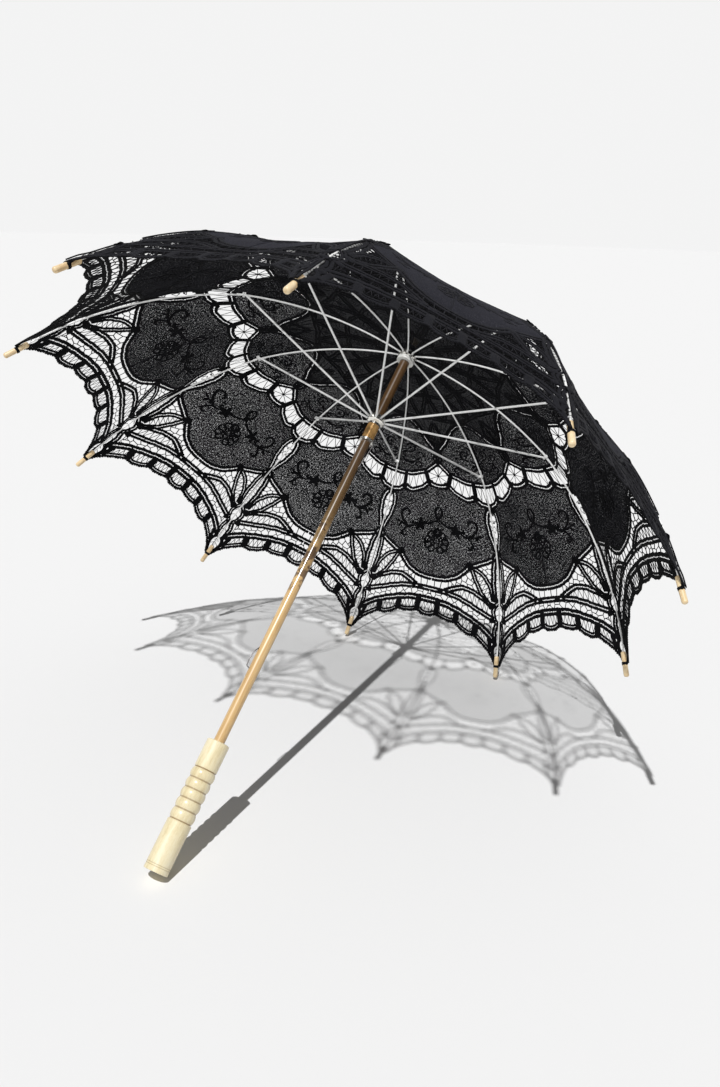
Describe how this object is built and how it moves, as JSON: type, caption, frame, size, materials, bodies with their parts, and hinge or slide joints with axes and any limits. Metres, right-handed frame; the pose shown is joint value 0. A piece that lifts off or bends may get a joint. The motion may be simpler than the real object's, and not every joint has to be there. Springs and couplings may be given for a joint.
{
  "type": "lace parasol",
  "caption": "Hand parasol with a black lace canopy on sprung wire ribs, a wooden stick with a turned pale grip, and a runner that slides to open and close it.",
  "frame": {"origin": "centre of the grip's flat bottom end", "axes": "+Z along the stick from the grip to the ferrule; +X through rib 1; the other ribs follow counter-clockwise seen from above"},
  "size_m": [0.7758, 0.7382, 0.66],
  "materials": {
    "stick_wood": "varnished honey wood",
    "grip_ivory": "lacquered cream turned wood",
    "tip_wood": "pale varnished wood",
    "nickel": "nickel plate",
    "rib_wire": "bright drawn steel wire",
    "spring_wire": "bare spring wire",
    "white_plastic": "moulded satin",
    "black_lace": "black tape lace with sheer cotton lobes"
  },
  "bodies": {
    "root": {"shaft": "stick_wood", "handle_grip": "grip_ivory", "ferrule": "stick_wood", "top_notch": "nickel", "notch_collar": "white_plastic", "notch_wire": "nickel"},
    "runner": {"runner": "nickel", "runner_wire": "nickel"},
    "bottom_catch": {"bottom_spring": "spring_wire"},
    "top_catch": {"top_spring": "spring_wire"},
    "rib_inner_01": {"rib_inner_01": "rib_wire"},
    "rib_outer_01": {"rib_outer_01": "rib_wire", "rib_tip_01": "tip_wood", "canopy_gore_01": "black_lace"},
    "stretcher_01": {"stretcher_01": "rib_wire"},
    "rib_inner_02": {"rib_inner_02": "rib_wire"},
    "rib_outer_02": {"rib_outer_02": "rib_wire", "rib_tip_02": "tip_wood", "canopy_gore_02": "black_lace"},
    "stretcher_02": {"stretcher_02": "rib_wire"},
    "rib_inner_03": {"rib_inner_03": "rib_wire"},
    "rib_outer_03": {"rib_outer_03": "rib_wire", "rib_tip_03": "tip_wood", "canopy_gore_03": "black_lace"},
    "stretcher_03": {"stretcher_03": "rib_wire"},
    "rib_inner_04": {"rib_inner_04": "rib_wire"},
    "rib_outer_04": {"rib_outer_04": "rib_wire", "rib_tip_04": "tip_wood", "canopy_gore_04": "black_lace"},
    "stretcher_04": {"stretcher_04": "rib_wire"},
    "rib_inner_05": {"rib_inner_05": "rib_wire"},
    "rib_outer_05": {"rib_outer_05": "rib_wire", "rib_tip_05": "tip_wood", "canopy_gore_05": "black_lace"},
    "stretcher_05": {"stretcher_05": "rib_wire"},
    "rib_inner_06": {"rib_inner_06": "rib_wire"},
    "rib_outer_06": {"rib_outer_06": "rib_wire", "rib_tip_06": "tip_wood", "canopy_gore_06": "black_lace"},
    "stretcher_06": {"stretcher_06": "rib_wire"},
    "rib_inner_07": {"rib_inner_07": "rib_wire"},
    "rib_outer_07": {"rib_outer_07": "rib_wire", "rib_tip_07": "tip_wood", "canopy_gore_07": "black_lace"},
    "stretcher_07": {"stretcher_07": "rib_wire"},
    "rib_inner_08": {"rib_inner_08": "rib_wire"},
    "rib_outer_08": {"rib_outer_08": "rib_wire", "rib_tip_08": "tip_wood", "canopy_gore_08": "black_lace"},
    "stretcher_08": {"stretcher_08": "rib_wire"},
    "rib_inner_09": {"rib_inner_09": "rib_wire"},
    "rib_outer_09": {"rib_outer_09": "rib_wire", "rib_tip_09": "tip_wood", "canopy_gore_09": "black_lace"},
    "stretcher_09": {"stretcher_09": "rib_wire"},
    "rib_inner_10": {"rib_inner_10": "rib_wire"},
    "rib_outer_10": {"rib_outer_10": "rib_wire", "rib_tip_10": "tip_wood", "canopy_gore_10": "black_lace"},
    "stretcher_10": {"stretcher_10": "rib_wire"}
  },
  "joints": [
    {"name": "runner_slide", "type": "slide", "parent": "root", "child": "runner", "axis": [0, 0, -1], "range_m": [0, 0.2986], "deforming": ["canopy_gore_01", "canopy_gore_02", "canopy_gore_03", "canopy_gore_04", "canopy_gore_05", "canopy_gore_06", "canopy_gore_07", "canopy_gore_08", "canopy_gore_09", "canopy_gore_10", "top_spring", "bottom_spring"]},
    {"name": "bottom_catch_press", "type": "slide", "parent": "root", "child": "bottom_catch", "axis": [0.6691, 0.7431, 0], "range_m": [0, 0.0042]},
    {"name": "top_catch_press", "type": "slide", "parent": "root", "child": "top_catch", "axis": [-0.9903, -0.1392, 0], "range_m": [0, 0.0042]},
    {"name": "rib_fold_01", "type": "hinge", "parent": "root", "child": "rib_inner_01", "pos_m": [0.0092, 0, 0.6346], "axis": [0, 1, 0], "range_deg": [0, 71.22]},
    {"name": "rib_flex_01", "type": "hinge", "parent": "rib_inner_01", "child": "rib_outer_01", "pos_m": [0.20265, 0, 0.60186], "axis": [0, 1, 0], "range_deg": [-30.29, 0]},
    {"name": "stretcher_fold_01", "type": "hinge", "parent": "runner", "child": "stretcher_01", "pos_m": [0.0088, 0, 0.5383], "axis": [0, 1, 0], "range_deg": [-62.92, 0]},
    {"name": "rib_fold_02", "type": "hinge", "parent": "root", "child": "rib_inner_02", "pos_m": [0.00744, 0.00541, 0.6346], "axis": [-0.5878, 0.809, 0], "range_deg": [0, 71.22]},
    {"name": "rib_flex_02", "type": "hinge", "parent": "rib_inner_02", "child": "rib_outer_02", "pos_m": [0.16395, 0.11911, 0.60186], "axis": [-0.5878, 0.809, 0], "range_deg": [-30.29, 0]},
    {"name": "stretcher_fold_02", "type": "hinge", "parent": "runner", "child": "stretcher_02", "pos_m": [0.00712, 0.00517, 0.5383], "axis": [-0.5878, 0.809, 0], "range_deg": [-62.92, 0]},
    {"name": "rib_fold_03", "type": "hinge", "parent": "root", "child": "rib_inner_03", "pos_m": [0.00284, 0.00875, 0.6346], "axis": [-0.9511, 0.309, 0], "range_deg": [0, 71.22]},
    {"name": "rib_flex_03", "type": "hinge", "parent": "rib_inner_03", "child": "rib_outer_03", "pos_m": [0.06262, 0.19273, 0.60186], "axis": [-0.9511, 0.309, 0], "range_deg": [-30.29, 0]},
    {"name": "stretcher_fold_03", "type": "hinge", "parent": "runner", "child": "stretcher_03", "pos_m": [0.00272, 0.00837, 0.5383], "axis": [-0.9511, 0.309, 0], "range_deg": [-62.92, 0]},
    {"name": "rib_fold_04", "type": "hinge", "parent": "root", "child": "rib_inner_04", "pos_m": [-0.00284, 0.00875, 0.6346], "axis": [-0.9511, -0.309, 0], "range_deg": [0, 71.22]},
    {"name": "rib_flex_04", "type": "hinge", "parent": "rib_inner_04", "child": "rib_outer_04", "pos_m": [-0.06262, 0.19273, 0.60186], "axis": [-0.9511, -0.309, 0], "range_deg": [-30.29, 0]},
    {"name": "stretcher_fold_04", "type": "hinge", "parent": "runner", "child": "stretcher_04", "pos_m": [-0.00272, 0.00837, 0.5383], "axis": [-0.9511, -0.309, 0], "range_deg": [-62.92, 0]},
    {"name": "rib_fold_05", "type": "hinge", "parent": "root", "child": "rib_inner_05", "pos_m": [-0.00744, 0.00541, 0.6346], "axis": [-0.5878, -0.809, 0], "range_deg": [0, 71.22]},
    {"name": "rib_flex_05", "type": "hinge", "parent": "rib_inner_05", "child": "rib_outer_05", "pos_m": [-0.16395, 0.11911, 0.60186], "axis": [-0.5878, -0.809, 0], "range_deg": [-30.29, 0]},
    {"name": "stretcher_fold_05", "type": "hinge", "parent": "runner", "child": "stretcher_05", "pos_m": [-0.00712, 0.00517, 0.5383], "axis": [-0.5878, -0.809, 0], "range_deg": [-62.92, 0]},
    {"name": "rib_fold_06", "type": "hinge", "parent": "root", "child": "rib_inner_06", "pos_m": [-0.0092, 0, 0.6346], "axis": [0, -1, 0], "range_deg": [0, 71.22]},
    {"name": "rib_flex_06", "type": "hinge", "parent": "rib_inner_06", "child": "rib_outer_06", "pos_m": [-0.20265, 0, 0.60186], "axis": [0, -1, 0], "range_deg": [-30.29, 0]},
    {"name": "stretcher_fold_06", "type": "hinge", "parent": "runner", "child": "stretcher_06", "pos_m": [-0.0088, 0, 0.5383], "axis": [0, -1, 0], "range_deg": [-62.92, 0]},
    {"name": "rib_fold_07", "type": "hinge", "parent": "root", "child": "rib_inner_07", "pos_m": [-0.00744, -0.00541, 0.6346], "axis": [0.5878, -0.809, 0], "range_deg": [0, 71.22]},
    {"name": "rib_flex_07", "type": "hinge", "parent": "rib_inner_07", "child": "rib_outer_07", "pos_m": [-0.16395, -0.11911, 0.60186], "axis": [0.5878, -0.809, 0], "range_deg": [-30.29, 0]},
    {"name": "stretcher_fold_07", "type": "hinge", "parent": "runner", "child": "stretcher_07", "pos_m": [-0.00712, -0.00517, 0.5383], "axis": [0.5878, -0.809, 0], "range_deg": [-62.92, 0]},
    {"name": "rib_fold_08", "type": "hinge", "parent": "root", "child": "rib_inner_08", "pos_m": [-0.00284, -0.00875, 0.6346], "axis": [0.9511, -0.309, 0], "range_deg": [0, 71.22]},
    {"name": "rib_flex_08", "type": "hinge", "parent": "rib_inner_08", "child": "rib_outer_08", "pos_m": [-0.06262, -0.19273, 0.60186], "axis": [0.9511, -0.309, 0], "range_deg": [-30.29, 0]},
    {"name": "stretcher_fold_08", "type": "hinge", "parent": "runner", "child": "stretcher_08", "pos_m": [-0.00272, -0.00837, 0.5383], "axis": [0.9511, -0.309, 0], "range_deg": [-62.92, 0]},
    {"name": "rib_fold_09", "type": "hinge", "parent": "root", "child": "rib_inner_09", "pos_m": [0.00284, -0.00875, 0.6346], "axis": [0.9511, 0.309, 0], "range_deg": [0, 71.22]},
    {"name": "rib_flex_09", "type": "hinge", "parent": "rib_inner_09", "child": "rib_outer_09", "pos_m": [0.06262, -0.19273, 0.60186], "axis": [0.9511, 0.309, 0], "range_deg": [-30.29, 0]},
    {"name": "stretcher_fold_09", "type": "hinge", "parent": "runner", "child": "stretcher_09", "pos_m": [0.00272, -0.00837, 0.5383], "axis": [0.9511, 0.309, 0], "range_deg": [-62.92, 0]},
    {"name": "rib_fold_10", "type": "hinge", "parent": "root", "child": "rib_inner_10", "pos_m": [0.00744, -0.00541, 0.6346], "axis": [0.5878, 0.809, 0], "range_deg": [0, 71.22]},
    {"name": "rib_flex_10", "type": "hinge", "parent": "rib_inner_10", "child": "rib_outer_10", "pos_m": [0.16395, -0.11911, 0.60186], "axis": [0.5878, 0.809, 0], "range_deg": [-30.29, 0]},
    {"name": "stretcher_fold_10", "type": "hinge", "parent": "runner", "child": "stretcher_10", "pos_m": [0.00712, -0.00517, 0.5383], "axis": [0.5878, 0.809, 0], "range_deg": [-62.92, 0]}
  ],
  "couplings": [
    {"joint": "rib_fold_01", "follows": "runner_slide", "rad_per_m": 4.1451},
    {"joint": "rib_flex_01", "follows": "runner_slide", "rad_per_m": -1.7531},
    {"joint": "stretcher_fold_01", "follows": "runner_slide", "rad_per_m": -3.6604},
    {"joint": "rib_fold_02", "follows": "runner_slide", "rad_per_m": 4.1451},
    {"joint": "rib_flex_02", "follows": "runner_slide", "rad_per_m": -1.7531},
    {"joint": "stretcher_fold_02", "follows": "runner_slide", "rad_per_m": -3.6604},
    {"joint": "rib_fold_03", "follows": "runner_slide", "rad_per_m": 4.1451},
    {"joint": "rib_flex_03", "follows": "runner_slide", "rad_per_m": -1.7531},
    {"joint": "stretcher_fold_03", "follows": "runner_slide", "rad_per_m": -3.6604},
    {"joint": "rib_fold_04", "follows": "runner_slide", "rad_per_m": 4.1451},
    {"joint": "rib_flex_04", "follows": "runner_slide", "rad_per_m": -1.7531},
    {"joint": "stretcher_fold_04", "follows": "runner_slide", "rad_per_m": -3.6604},
    {"joint": "rib_fold_05", "follows": "runner_slide", "rad_per_m": 4.1451},
    {"joint": "rib_flex_05", "follows": "runner_slide", "rad_per_m": -1.7531},
    {"joint": "stretcher_fold_05", "follows": "runner_slide", "rad_per_m": -3.6604},
    {"joint": "rib_fold_06", "follows": "runner_slide", "rad_per_m": 4.1451},
    {"joint": "rib_flex_06", "follows": "runner_slide", "rad_per_m": -1.7531},
    {"joint": "stretcher_fold_06", "follows": "runner_slide", "rad_per_m": -3.6604},
    {"joint": "rib_fold_07", "follows": "runner_slide", "rad_per_m": 4.1451},
    {"joint": "rib_flex_07", "follows": "runner_slide", "rad_per_m": -1.7531},
    {"joint": "stretcher_fold_07", "follows": "runner_slide", "rad_per_m": -3.6604},
    {"joint": "rib_fold_08", "follows": "runner_slide", "rad_per_m": 4.1451},
    {"joint": "rib_flex_08", "follows": "runner_slide", "rad_per_m": -1.7531},
    {"joint": "stretcher_fold_08", "follows": "runner_slide", "rad_per_m": -3.6604},
    {"joint": "rib_fold_09", "follows": "runner_slide", "rad_per_m": 4.1451},
    {"joint": "rib_flex_09", "follows": "runner_slide", "rad_per_m": -1.7531},
    {"joint": "stretcher_fold_09", "follows": "runner_slide", "rad_per_m": -3.6604},
    {"joint": "rib_fold_10", "follows": "runner_slide", "rad_per_m": 4.1451},
    {"joint": "rib_flex_10", "follows": "runner_slide", "rad_per_m": -1.7531},
    {"joint": "stretcher_fold_10", "follows": "runner_slide", "rad_per_m": -3.6604}
  ]
}
